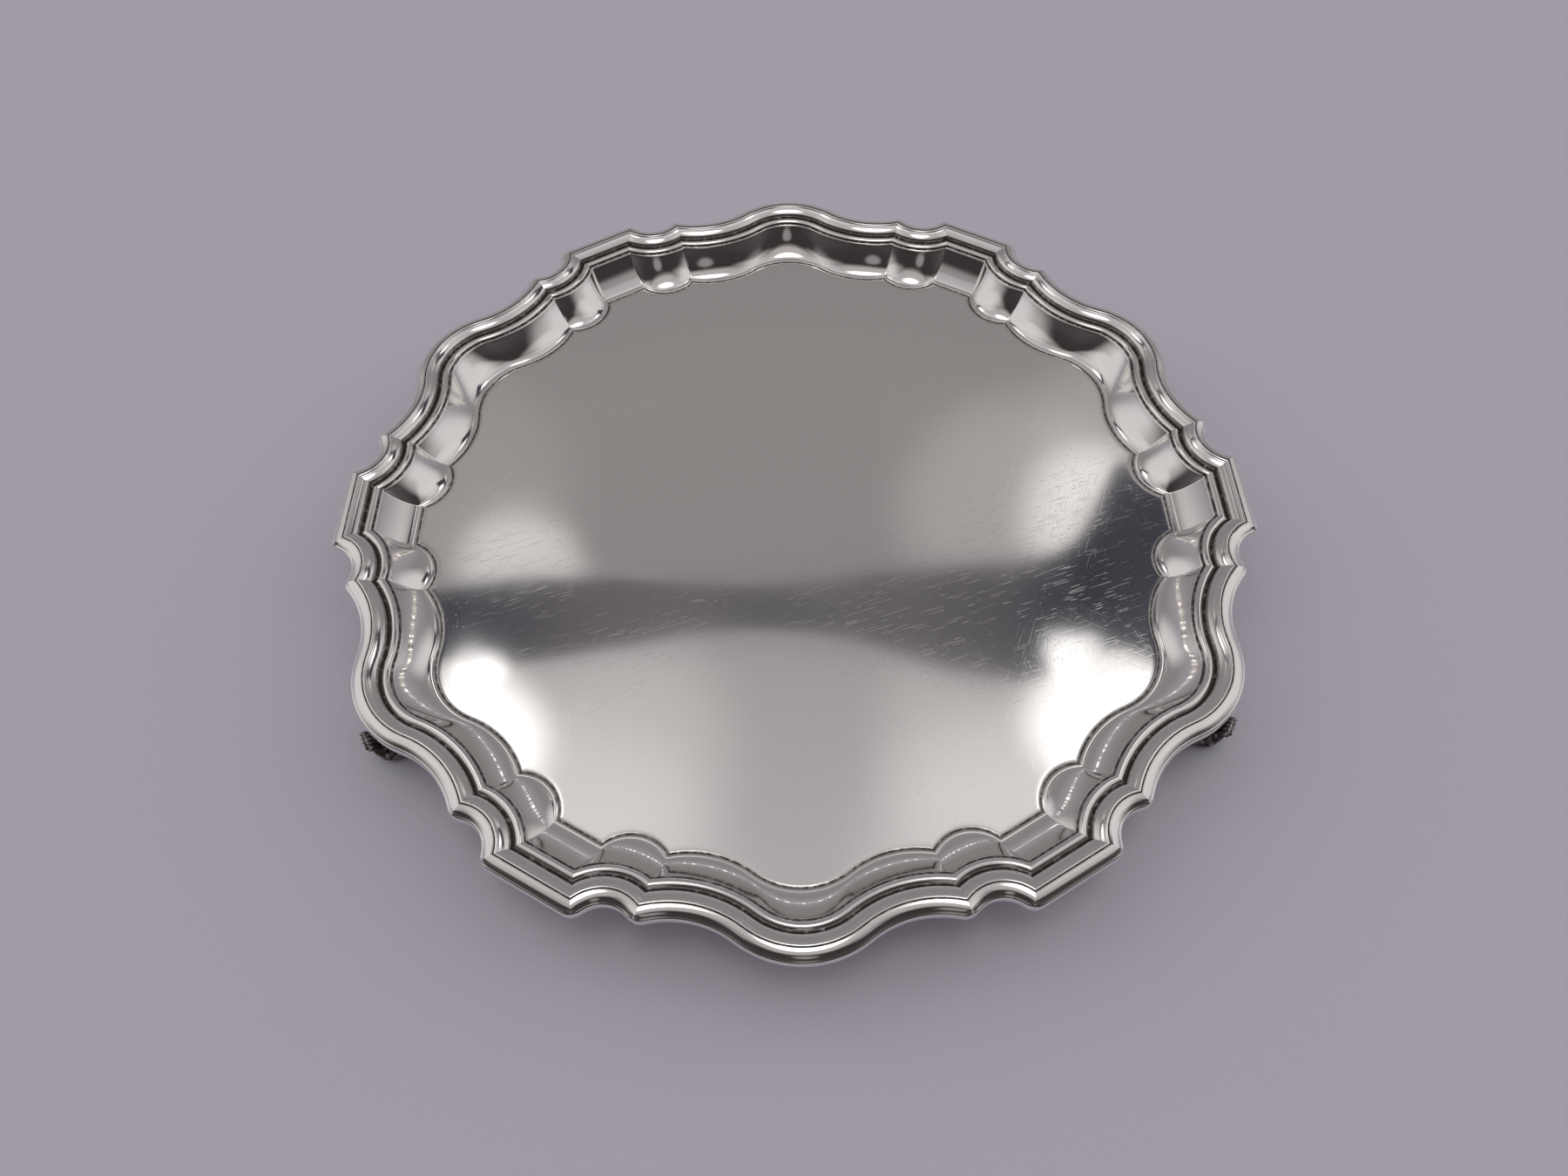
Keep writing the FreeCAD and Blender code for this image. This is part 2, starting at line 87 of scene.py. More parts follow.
def arc(centre, start, end, shares):
    """Points on the shorter arc about a centre, at the given shares of the way."""
    a = math.atan2(*(start - centre)[::-1])
    b = math.atan2(*(end - centre)[::-1])
    turn = (b - a + math.pi) % (2 * math.pi) - math.pi
    angles = a + turn * shares
    return centre + np.linalg.norm(start - centre) * np.column_stack([np.cos(angles), np.sin(angles)])


def turned(points, sixth):
    """Plan points of the sixth in the salver's own frame: sixth 0 has its crown towards +Y."""
    angle = -math.radians(60 * sixth)
    c, s = math.cos(angle), math.sin(angle)
    return points @ np.array([[c, s], [-s, c]])


class Outline:
    """A closed outline of arcs and lines: per sixth a crown, two hollows, two notches and a straight."""

    def __init__(self, crown, crown_arc, hollow_arc, tip, tip_angle, notch_arc, side, side_angle):
        self.crown_arc = crown_arc * MM
        self.hollow_arc = hollow_arc * MM
        self.notch_arc = notch_arc * MM
        self.crown_centre = np.array([0, (crown - crown_arc) * MM])
        self.tip = polar(tip, tip_angle)
        corner = polar(side, side_angle)
        beyond = self.tip + np.array([0, self.hollow_arc])
        self.hollow_centre = circles_meet(
            self.crown_centre, self.crown_arc + self.hollow_arc, self.tip, self.hollow_arc, beyond
        )
        outside = polar(FAR_OUT_MM, NOTCH_ANGLE)
        self.notch_centre = circles_meet(self.tip, self.notch_arc, corner, self.notch_arc, outside)
        self.out = polar(1 / MM, 30)
        self.along = np.array([-self.out[1], self.out[0]])
        self.straight_reach = corner @ self.out

    def corners(self, inset):
        """Turn, tip, side and straight's middle of the half sixth, moved in by an inset."""
        to_hollow = self.hollow_centre - self.crown_centre
        to_hollow = to_hollow / np.linalg.norm(to_hollow)
        turn = self.crown_centre + to_hollow * (self.crown_arc - inset)
        hollow, notch = self.hollow_arc + inset, self.notch_arc + inset
        tip = circles_meet(self.hollow_centre, hollow, self.notch_centre, notch, self.tip)
        reach = self.straight_reach - inset
        spread = math.sqrt(notch**2 - (self.notch_centre @ self.out - reach) ** 2)
        side = self.out * reach + self.along * (self.notch_centre @ self.along - spread)
        return turn, tip, side, self.out * reach

    def ogee(self, inset, spacing):
        """Tip to tip over the crown."""
        turn, tip, _, _ = self.corners(inset)
        half = arc(self.hollow_centre, tip, turn, spacing["hollow"])
        mirrored = half[::-1] * [-1, 1]
        crown = arc(self.crown_centre, turn, turn * [-1, 1], spacing["crown"])
        return np.concatenate([half[:-1], crown[:-1], mirrored])[::-1]

    def notch(self, inset, spacing):
        """Tip to side, the notch that follows the ogee clockwise."""
        _, tip, side, _ = self.corners(inset)
        return arc(self.notch_centre, tip, side, spacing["notch"])

    def straight(self, inset, spacing):
        """Side to side, between two notches."""
        _, _, side, middle = self.corners(inset)
        other = 2 * middle - side
        return side + (other - side) * spacing["straight"][:, None]

    def ring(self, inset, spacing):
        """The whole outline, once round clockwise, with no point twice."""
        one = [self.ogee(inset, spacing)[:-1], self.notch(inset, spacing)[:-1]]
        one.append(self.straight(inset, spacing)[:-1])
        mirror_notch = turned(self.notch(inset, spacing)[::-1] * [-1, 1], 1)
        one.append(mirror_notch[:-1])
        sixth = np.concatenate(one)
        return np.concatenate([turned(sixth, k) for k in range(SIXTHS)])


def crowded(count, ends=0.75):
    """Shares from 0 to 1 that crowd towards both ends."""
    even = np.linspace(0, 1, count)
    return (1 - ends) * even + ends * (0.5 - 0.5 * np.cos(np.pi * even))


def crowded_start(count, ends=0.8):
    """Shares from 0 to 1 that crowd towards the start."""
    even = np.linspace(0, 1, count)
    return (1 - ends) * even + ends * (1 - np.cos(np.pi / 2 * even))


RIM = Outline(127.3, 25.5, 25.0, 124.2, 18.05, 7.5, 127.6, 23.9)
WELL = Outline(108.0, 19.8, 25.0, 104.4, 17.9, 10.1, 107.7, 26.3)
SPACING = {
    "hollow": crowded_start(18),
    "crown": np.linspace(0, 1, 25),
    "notch": crowded(22),
    "straight": crowded(18),
}


# ---------------------------------------------------------------- mesh helpers

def finish_mesh(name, vertices, faces, material, node_names, attributes=None, sharp=None):
    """A smooth-shaded object that rides on the root body and stands for CAD nodes."""
    mesh = bpy.data.meshes.new(name)
    mesh.from_pydata([tuple(v) for v in vertices], [], faces)
    mesh.update()
    for key, values in (attributes or {}).items():
        layer = mesh.attributes.new(key, "FLOAT", "POINT")
        layer.data.foreach_set("value", np.asarray(values, dtype=np.float32))
    mesh.materials.append(material)
    mesh.shade_smooth()
    if sharp is not None:
        mesh.set_sharp_from_angle(angle=math.radians(sharp))
    piece = bpy.data.objects.new(name, mesh)
    bpy.context.scene.collection.objects.link(piece)
    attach(piece, "root")
    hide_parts(*node_names)
    return piece


def grid_faces(rows, columns, close_columns=False, close_rows=False, flip=False):
    """Quads between neighbouring rows of a vertex grid."""
    faces = []
    for r in range(rows if close_rows else rows - 1):
        nr = (r + 1) % rows
        for c in range(columns if close_columns else columns - 1):
            nc = (c + 1) % columns
            quad = (r * columns + c, r * columns + nc, nr * columns + nc, nr * columns + c)
            faces.append(quad[::-1] if flip else quad)
    return faces


# ---------------------------------------------------------------- tray plate

def bouge_fall(share):
    """The bouge's height as a share of its whole, at a share of the way in from the flange."""
    return (1 - share) ** BOUGE_HOLLOW


def hand_worked(x, y):
    """The small unevenness that hammering and polishing leave in the well, in metres."""
    slow = noise.noise(Vector((x * 22, y * 22, 3.1)))
    medium = noise.noise(Vector((x * 55, y * 55, 8.7)))
    return (0.055 * slow + 0.012 * medium) * MM


# The groove chased round the well's edge: inset from the edge and depth in millimetres, and tarnish.
EDGE_GROOVE = [
    (2.6, 0, 0), (1.7, 0.0, 0.05), (1.3, 0.015, 0.2), (1.05, 0.05, 0.6), (0.85, 0.1, 1.0), (0.65, 0.11, 1.0),
    (0.45, 0.06, 0.7), (0.25, -0.01, 0.2), (0.1, -0.05, 0.05),
]
FLAT_INSET = 4 * MM
EDGE_ROUND = 0.2 * MM
WELL_GROWTH = 0.4
BOUGE_FOOT_BEAD = 0.09 * MM


def plate_rows():
    """Rows of (plan ring, height, tarnish) on the upper face, from the well's centre out to the flange."""
    rows = []
    for share in np.linspace(0.02, 1, 46) ** 0.9:
        rows.append((WELL.ring(FLAT_INSET, SPACING) * share, 0.0, 0.0))
    for inset, dip, tarnish_and_shade in EDGE_GROOVE:
        rows.append((WELL.ring(inset * MM, SPACING), -dip * MM, tarnish_and_shade))
    top = RIM.ring(BORDER_WIDTH, SPACING)
    foot = WELL.ring(0, SPACING)
    for share in np.linspace(0.985, 0, 34) ** 0.92:
        under_border = 0.25 * max(0, 1 - share / 0.12)
        lift = BOUGE_FOOT_BEAD * math.exp(-((1 - share) / 0.05) ** 2)
        rows.append((top + (foot - top) * share, BOUGE_RISE * bouge_fall(share) + lift, under_border))
    return rows


def tray_plate(material):
    """The raised sheet as one closed mesh."""
    vertices, tarnish_and_shade = [], []
    upper = plate_rows()
    for ring, height, depth in upper:
        for x, y in ring:
            vertices.append((x, y, WELL_LEVEL + height + hand_worked(x, y)))
            tarnish_and_shade.append(depth)
    edge = RIM.ring(SKIRT_WIDTH, SPACING)
    near_edge = RIM.ring(SKIRT_WIDTH + EDGE_ROUND, SPACING)
    rounded = ((near_edge, 0), (edge, -EDGE_ROUND), (edge, -SHEET + EDGE_ROUND), (near_edge, -SHEET))
    for ring, height in rounded:
        vertices += [(x, y, FLANGE_LEVEL + height) for x, y in ring]
        tarnish_and_shade += [0.3] * len(ring)
    below_top = RIM.ring(BORDER_WIDTH - SHEET, SPACING)
    below_foot = WELL.ring(-WELL_GROWTH * SHEET, SPACING)
    for share in np.linspace(0, 1, 22) ** 1.1:
        ring = below_top + (below_foot - below_top) * share
        level = UNDER_LEVEL + BOUGE_RISE * bouge_fall(share)
        vertices += [(x, y, level) for x, y in ring]
        tarnish_and_shade += [0.35] * len(ring)
    for share in 1 - np.linspace(0.04, 0.98, 24):
        for x, y in below_foot * share:
            vertices.append((x, y, UNDER_LEVEL + 0.4 * hand_worked(y, x) + 0.03 * MM))
            tarnish_and_shade.append(0.1)
    columns = len(edge)
    rows = len(vertices) // columns
    faces = grid_faces(rows, columns, close_columns=True)
    faces.append(tuple(range(columns))[::-1])
    faces.append(tuple((rows - 1) * columns + c for c in range(columns)))
    return finish_mesh(
        "salver_plate", vertices, faces, material, ["tray_plate"], {"tarnish_and_shade": tarnish_and_shade}
    )


# ---------------------------------------------------------------- border mouldings

def bow(start, end, rise, count):
    """Points of a gentle bow from start to end, risen to its left, without its last point."""
    start, end = np.array(start, float), np.array(end, float)
    shares = np.linspace(0, 1, count, endpoint=False)
    chord = end - start
    side = np.array([-chord[1], chord[0]]) / np.linalg.norm(chord)
    return [tuple(start + chord * s + side * rise * 4 * s * (1 - s)) for s in shares]


def moulding_profile():
    """The border's section as (inset from the rim, height above the flange, tarnish), in millimetres."""
    path = []
    path += [(p, 0.35) for p in bow((0.5, -1.3), (0.0, -0.85), 0.12, 5)]
    path += [(p, 0.0) for p in bow((0.0, -0.85), (0.0, 0.8), 0.0, 3)]
    path += [(p, 0.0) for p in bow((0.0, 0.8), (0.6, 1.42), 0.12, 7)]
    path += [(p, 0.0) for p in bow((0.6, 1.42), (3.3, 2.62), 0.26, 16)]
    path += [(p, 0.75) for p in bow((3.3, 2.62), (3.44, 2.42), 0.0, 2)]
    path += [(p, 0.75) for p in bow((3.44, 2.42), (3.58, 2.6), 0.0, 2)]
    path += [(p, 0.0) for p in bow((3.58, 2.6), (4.25, 2.5), 0.14, 8)]
    path += [(p, 0.25) for p in bow((4.25, 2.5), (4.42, 2.3), -0.03, 3)]
    path += [(p, 0.05) for p in bow((4.42, 2.3), (6.55, 1.3), 0.13, 12)]
    path += [(p, 0.6) for p in bow((6.55, 1.3), (6.95, 0.38), 0.05, 5)]
    path += [(p, 1.0) for p in bow((6.95, 0.38), (7.65, 0.3), -0.1, 5)]
    path += [(p, 0.25) for p in bow((7.65, 0.3), (7.85, 0.5), 0.03, 3)]
    path += [(p, 0.05) for p in bow((7.85, 0.5), (9.8, 0.42), 0.42, 14)]
    path += [(p, 0.8) for p in bow((9.8, 0.42), (9.98, 0.14), 0.0, 3)]
    path += [(p, 0.8) for p in bow((9.98, 0.14), (10.4, 0.0), 0.05, 4)]
    path += [((10.4, 0.0), 0.5)]
    path += [(p, 0.3) for p in ((2.4, 0.0), (2.2, 0.0), (2.2, -1.2), (2.1, -1.3))]
    return path


PROFILE = moulding_profile()


# What polishing and wear have taken off the border's outer wall and corners.
POLISHED_OFF = 0.01 * MM
WORN_WIDTH_MM = 1.6
WORN_LENGTH = 1.3 * MM
WORN_DEPTH = 1.2 * MM


def blunted(course, inset):
    """A course at an inset in millimetres, whose outer corners are worn back from the mitres."""
    points = course(inset * MM + POLISHED_OFF)
    outer = max(0.0, 1 - inset / WORN_WIDTH_MM)
    if outer > 0:
        steps = np.linalg.norm(np.diff(points, axis=0), axis=1)
        walked = np.concatenate([[0], np.cumsum(steps)])
        from_end = np.minimum(walked, walked[-1] - walked)
        worn = 0.6 * outer * np.exp(-((from_end / WORN_LENGTH) ** 2))
        points = points + (course(inset * MM + WORN_DEPTH) - points) * worn[:, None]
    return points


def moulding_length(name, node, course, sixth, mirror, material):
    """One soldered length: the profile carried along a course, with flat mitred ends."""
    vertices, tarnish_and_shade = [], []
    for (inset, height), depth in PROFILE:
        points = blunted(course, inset)
        if mirror:
            points = points * [-1, 1]
        for x, y in turned(points, sixth):
            vertices.append((x, y, FLANGE_LEVEL + height * MM))
            tarnish_and_shade.append(depth)
    rows = len(PROFILE)
    columns = len(vertices) // rows
    faces = grid_faces(rows, columns, close_rows=True, flip=not mirror)
    first = tuple(r * columns for r in range(rows))
    last = tuple(r * columns + columns - 1 for r in range(rows))
    faces += [first[::-1], last] if mirror else [first, last[::-1]]
    return finish_mesh(
        name, vertices, faces, material, [node], {"tarnish_and_shade": tarnish_and_shade}, sharp=50
    )


def border(material):
    """All twenty-four lengths round the rim."""
    for sixth in range(SIXTHS):
        lengths = (
            (f"ogee_{sixth + 1}", RIM.ogee, False),
            (f"notch_{sixth + 1}a", RIM.notch, False),
            (f"straight_{sixth + 1}", RIM.straight, False),
            (f"notch_{sixth + 1}b", RIM.notch, True),
        )
        for name, line, mirror in lengths:
            def course(inset, line=line):
                return line(inset, SPACING)
            moulding_length("moulding_" + name, "border_" + name, course, -sixth, mirror, material)


# ---------------------------------------------------------------- feet

# The foot's middle line: reach, level, half thickness and half width, from the plate down to the toe's tip.
FOOT_SPINE = [
    (108.6, 21.5, 5.0, 7.0), (111.2, 17.6, 4.4, 6.4), (113.4, 13.4, 3.3, 4.6), (114.4, 9.8, 2.8, 3.5),
    (115.8, 6.2, 2.9, 3.4), (118.8, 3.5, 2.9, 3.6), (122.6, 2.9, 2.85, 3.8), (125.6, 3.4, 2.8, 3.7),
    (127.2, 5.4, 2.0, 2.8), (127.9, 7.4, 1.5, 2.1), (128.4, 9.2, 1.35, 2.4), (129.1, 10.6, 1.2, 3.1),
    (129.7, 11.6, 0.7, 2.9),
]
FEET = 3
FIRST_FOOT = 90
FLUTES = 5
SQUARENESS = 2.6
# Places along the foot as shares of its middle line.
LEAF_START = 0.22
COLLAR = 0.735
LOWER_COLLAR = 0.70
TOE_START = 0.8
KNOB = 0.93
TOE_REACH_MM = 130.45
BOUGE_FOOT_MM = 108.4
BOUGE_TOP_MM = 118.0
INTO_PLATE_MM = 0.35
ROOT_TOP_MM = 26.0


def smooth_curve(points, count):
    """A Catmull-Rom curve through rows of numbers, evenly sampled."""
    points = np.array(points, float)
    padded = np.vstack([2 * points[0] - points[1], points, 2 * points[-1] - points[-2]])
    out = []
    for t in np.linspace(0, len(points) - 1 - 1e-9, count):
        i = int(t)
        u = t - i
        a, b, c, d = padded[i:i + 4]
        bend = (2 * a - 5 * b + 4 * c - d) * u**2
        twist = (3 * b - a - 3 * c + d) * u**3
        out.append(0.5 * (2 * b + (c - a) * u + bend + twist))
    return np.array(out)


def plate_underside(reach):
    """Height of the plate's underside below a crown, at a reach from the centre, in millimetres."""
    share = min(1.0, max(0.0, (BOUGE_TOP_MM - reach) / (BOUGE_TOP_MM - BOUGE_FOOT_MM)))
    return (UNDER_LEVEL + BOUGE_RISE * bouge_fall(share)) / MM


def bell(value, middle, width):
    """A smooth bump of height 1."""
    return math.exp(-(((value - middle) / width) ** 2))


def scroll_foot(name, node, angle, material):
    """A cast foot: an S-scroll whose face is a ribbed leaf, waisted below a lobed toe with a small knob."""
    around, along = 96, 150
    spine = smooth_curve(FOOT_SPINE, along)
    tangents = np.gradient(spine[:, :2], axis=0)
    tangents /= np.linalg.norm(tangents, axis=1)[:, None]
    vertices, tarnish_and_shade = [], []
    turn = math.radians(angle)
    out = np.array([math.cos(turn), math.sin(turn), 0])
    side = np.array([-math.sin(turn), math.cos(turn), 0])
    for step, ((reach, level, thick, wide), (tr, tz)) in enumerate(zip(spine, tangents)):
        share = step / (along - 1)
        leaf = 1 / (1 + math.exp(-(share - LEAF_START) / 0.03))
        collar = bell(share, COLLAR, 0.012) + 0.6 * bell(share, LOWER_COLLAR, 0.010)
        toe = max(0.0, (share - TOE_START) / 0.2)
        for k in range(around):
            a = 2 * math.pi * k / around
            face, across = math.cos(a), math.sin(a)
            square = (abs(face) ** SQUARENESS + abs(across) ** SQUARENESS) ** (-1 / SQUARENESS)
            u, v = face * square, across * square
            veins = abs(math.cos(0.5 * FLUTES * math.pi * (v + 0.35 * leaf * (1 - share) * abs(v))))
            groove = (1 - veins) ** 2 * leaf * (0.35 + 0.4 * (1 - toe))
            middle = 0.35 * bell(v, 0.0, 0.14) * leaf * max(0.0, face)
            edge = 0.22 * bell(abs(v), 0.92, 0.10) * leaf
            push = u * thick * (1 + 0.10 * collar) - face * groove * 0.75 + middle + face * edge
            lobes = 0.5 + 0.5 * math.cos(FLUTES * math.pi * v)
            reach_on = 0.9 * toe**2 * (lobes - 0.4)
            r = reach + tz * push + tr * reach_on
            z = level - tr * push + tz * reach_on
            knob = 0.8 * bell(v, 0.0, 0.22) * bell(share, KNOB, 0.035) * max(0.0, face)
            r = min(r + knob, TOE_REACH_MM)
            z = min(max(z, 0.0), plate_underside(r) + INTO_PLATE_MM, ROOT_TOP_MM)
            place = out * r + side * v * wide * (1 + 0.06 * collar)
            vertices.append((place[0] * MM, place[1] * MM, z * MM))
            # Painted shade: the leaf's face is painted dark like the dark surroundings it mirrors; the toe's
            # sides stay bright.
            bright_side = 0.8 * toe * bell(abs(v), 0.97, 0.10)
            # The vein grooves add real tarnish to this painted shade.
            tarnish_and_shade_mark = groove * 2.2 + 0.85 * leaf * (1 - bright_side) * (1 - toe**3)
            # The band between the collars holds real tarnish.
            between_collars = 0.5 * (LOWER_COLLAR < share < COLLAR)
            tarnish_and_shade.append(min(1.0, tarnish_and_shade_mark + between_collars))
    faces = grid_faces(along, around, close_columns=True)
    faces.append(tuple(range(around))[::-1])
    faces.append(tuple((along - 1) * around + k for k in range(around)))
    return finish_mesh(name, vertices, faces, material, [node], {"tarnish_and_shade": tarnish_and_shade}, sharp=75)


# ---------------------------------------------------------------- materials

def node_maker(tree):
    """Adds a node to a tree and sets inputs or properties by name."""
    def make(kind, inputs=None, **properties):
        node = tree.nodes.new(kind)
        for key, value in properties.items():
            setattr(node, key, value)
        for key, value in (inputs or {}).items():
            if isinstance(value, bpy.types.NodeSocket):
                tree.links.new(value, node.inputs[key])
            else:
                node.inputs[key].default_value = value
        return node
    return make


# Families of hairline scratches: direction, length against width, lines per metre, and noise level that cuts.
HAIRLINES = [
    (0.35, 30.0, 2600.0, 0.66), (1.25, 24.0, 3100.0, 0.67), (2.05, 36.0, 2300.0, 0.66),
    (2.85, 20.0, 3600.0, 0.68),
]
# Silver's own colour, and the near-black of tarnish that on the feet also serves as painted shade.
BRIGHT_SILVER = (0.93, 0.905, 0.88, 1)
TARNISH_AND_SHADE_COLOUR = (0.055, 0.045, 0.04, 1)
PIT_CELLS = 900.0
SCRATCH_DEPTH = 0.000006


def silver(name, polish, scratch, tarnish_and_shade_power):
    """Polished silver: hairline scratches, small pits, faint clouding, dark tarnish in recesses, and painted
    shade on the feet.
    """
    material = bpy.data.materials.new(name)
    material.use_nodes = True
    tree = material.node_tree
    tree.nodes.clear()
    make = node_maker(tree)
    place = make("ShaderNodeTexCoord").outputs["Object"]

    def maths(operation, *values, clamp=False):
        inputs = dict(enumerate(values))
        return make("ShaderNodeMath", inputs, operation=operation, use_clamp=clamp).outputs[0]

    def remap(value, low, high, to_low=0.0, to_high=1.0):
        ends = {"Value": value, "From Min": low, "From Max": high, "To Min": to_low, "To Max": to_high}
        return make("ShaderNodeMapRange", ends).outputs[0]

    def noise_at(scale, detail):
        return make("ShaderNodeTexNoise", {"Vector": place, "Scale": scale, "Detail": detail}).outputs["Fac"]

    hairlines = None
    for turn, length, fineness, cut in HAIRLINES:
        spin = {"Vector": place, "Angle": turn}
        spun = make("ShaderNodeVectorRotate", spin, rotation_type="Z_AXIS").outputs[0]
        drawn = make("ShaderNodeMapping", {"Vector": spun, "Scale": (fineness, fineness / length, fineness)})
        fine = {"Vector": drawn.outputs[0], "Scale": 1.0, "Detail": 1.0}
        lines = make("ShaderNodeTexNoise", fine).outputs["Fac"]
        thin = maths("MULTIPLY", remap(lines, cut, cut + 0.05), 0.6 + 0.4 * math.cos(5 * turn))
        hairlines = thin if hairlines is None else maths("MAXIMUM", hairlines, thin)
    rubbed = remap(noise_at(30.0, 3.0), 0.38, 0.62)
    hairlines = maths("MULTIPLY", hairlines, rubbed)
    cells = make("ShaderNodeTexVoronoi", {"Vector": place, "Scale": PIT_CELLS}).outputs["Distance"]
    pitted = remap(noise_at(42.0, 2.0), 0.55, 0.62)
    pits = maths("MULTIPLY", remap(cells, 0.05, 0.16, 1.0, 0.0), pitted)
    marks = maths("ADD", hairlines, maths("MULTIPLY", pits, 2.0))
    cuts = {"Height": marks, "Strength": scratch, "Distance": SCRATCH_DEPTH}
    bump = make("ShaderNodeBump", cuts, invert=True)

    # The mask holds tarnish in grooves and hollows, and on the feet painted shade over the leaf's face.
    tarnish_and_shade = make("ShaderNodeAttribute", attribute_name="tarnish_and_shade").outputs["Fac"]
    patchy = remap(noise_at(700.0, 4.0), 0.25, 0.55, 0.55, 1.0)
    tarnish_and_painted_shade = maths("MULTIPLY", maths("MULTIPLY", tarnish_and_shade, patchy), tarnish_and_shade_power)
    spots = maths("MULTIPLY", pits, 0.35)
    dark = maths("ADD", tarnish_and_painted_shade, spots, clamp=True)
    colours = {"Factor": dark, "A": BRIGHT_SILVER, "B": TARNISH_AND_SHADE_COLOUR}
    colour = make("ShaderNodeMix", colours, data_type="RGBA")
    film = remap(noise_at(26.0, 4.0), 0.35, 0.7, polish, polish * 1.5)
    rough = maths("MULTIPLY_ADD", dark, 0.35, film)
    shader = make("ShaderNodeBsdfPrincipled", {
        "Base Color": colour.outputs["Result"], "Metallic": 1.0,
        "Roughness": rough, "Normal": bump.outputs[0],
    })
    make("ShaderNodeOutputMaterial", {"Surface": shader.outputs[0]})
    return material


# ---------------------------------------------------------------- stage, light and camera

PAPER_TONES = ((0.755, 0.725, 0.82, 1), (0.795, 0.765, 0.86, 1))
PAPER_FIBRES = 900.0
PAPER_HALF = 6.0


def paper_floor():
    """A plain pale sheet of paper that the salver stands on."""
    material = bpy.data.materials.new("stage_paper")
    material.use_nodes = True
    make = node_maker(material.node_tree)
    shader = material.node_tree.nodes["Principled BSDF"]
    place = make("ShaderNodeTexCoord").outputs["Object"]
    fibres = make("ShaderNodeTexNoise", {"Vector": place, "Scale": PAPER_FIBRES, "Detail": 3.0})
    darker, lighter = PAPER_TONES
    tones = {"Factor": fibres.outputs["Fac"], "A": darker, "B": lighter}
    colour = make("ShaderNodeMix", tones, data_type="RGBA")
    material.node_tree.links.new(colour.outputs["Result"], shader.inputs["Base Color"])
    shader.inputs["Roughness"].default_value = 0.75
    half = PAPER_HALF
    corners = [(-half, -half, 0), (half, -half, 0), (half, half, 0), (-half, half, 0)]
    mesh = bpy.data.meshes.new("stage_floor")
    mesh.from_pydata(corners, [], [(0, 1, 2, 3)])
    mesh.materials.append(material)
    floor = bpy.data.objects.new("stage_floor", mesh)
    bpy.context.scene.collection.objects.link(floor)


def direction(azimuth, elevation):
    """A unit direction; azimuth 0 is +Y and 90 is +X."""
    a, e = math.radians(azimuth), math.radians(elevation)
    return (math.sin(a) * math.cos(e), math.cos(a) * math.cos(e), math.sin(e))


# Soft lamps in the tent: azimuth, elevation, size in degrees, and power. Azimuth 0 is +Y. They were placed
# so that the well's highlights fall where the photograph has them.
LAMPS = [
    (-33, 60.3, 2.9, 0.85), (-40, 61.5, 3.2, 1.1), (-24, 63, 6.0, 0.16), (-31, 69, 6.0, 0.12),
    (31.5, 59.6, 2.7, 0.75), (37.5, 60.8, 2.8, 1.1), (24, 63, 5.0, 0.11), (32, 68, 6.0, 0.18),
    (24.5, 51.2, 2.6, 0.42), (19, 52, 4.5, 0.12), (26, 47, 4.0, 0.09),
    (-22.5, 53.8, 2.4, 0.36), (-24, 49, 4.0, 0.05),
    (80, 35, 24, 0.40), (-80, 35, 24, 0.40), (180, 86, 8, 2.4), (178, 40, 6, 0.22),
]
# A lamp is at full power within the first share of its size and fades out at the second.
LAMP_FULL = 0.3
LAMP_FADES = 1.7
# Small bright lamps seen through the gap, written the same way.
GLINTS = [
    (25.6, 57.7, 0.6, 1.0), (26.7, 58.3, 0.5, 1.0), (27.6, 57.4, 0.6, 1.0),
    (-29.2, 57.2, 0.8, 0.8), (-27.6, 57.6, 0.6, 0.8),
]
# The dark gap between the tent's wall and roof: at a direction's x, the elevations of its lower and upper
# edges in degrees, and its colour. The edges are rounded from a scratch script's output for this photograph,
# with small changes by hand, so that the dark band across the well falls where it does there.
GAP = [
    (-0.30, 53.0, 55.6, (0.045, 0.047, 0.06)), (-0.25, 53.9, 57.5, (0.045, 0.045, 0.058)),
    (-0.19, 54.8, 58.6, (0.11, 0.105, 0.115)), (-0.12, 56.0, 59.0, (0.15, 0.14, 0.15)),
    (-0.03, 57.2, 58.9, (0.10, 0.098, 0.108)), (0.05, 56.8, 59.2, (0.12, 0.115, 0.125)),
    (0.13, 55.3, 60.1, (0.12, 0.115, 0.125)), (0.20, 54.6, 59.8, (0.07, 0.068, 0.08)),
    (0.25, 52.6, 58.0, (0.022, 0.022, 0.032)), (0.28, 47.5, 56.5, (0.05, 0.05, 0.065)),
]
GAP_LOWER = 1
GAP_UPPER = 2
GAP_COLOUR = 3


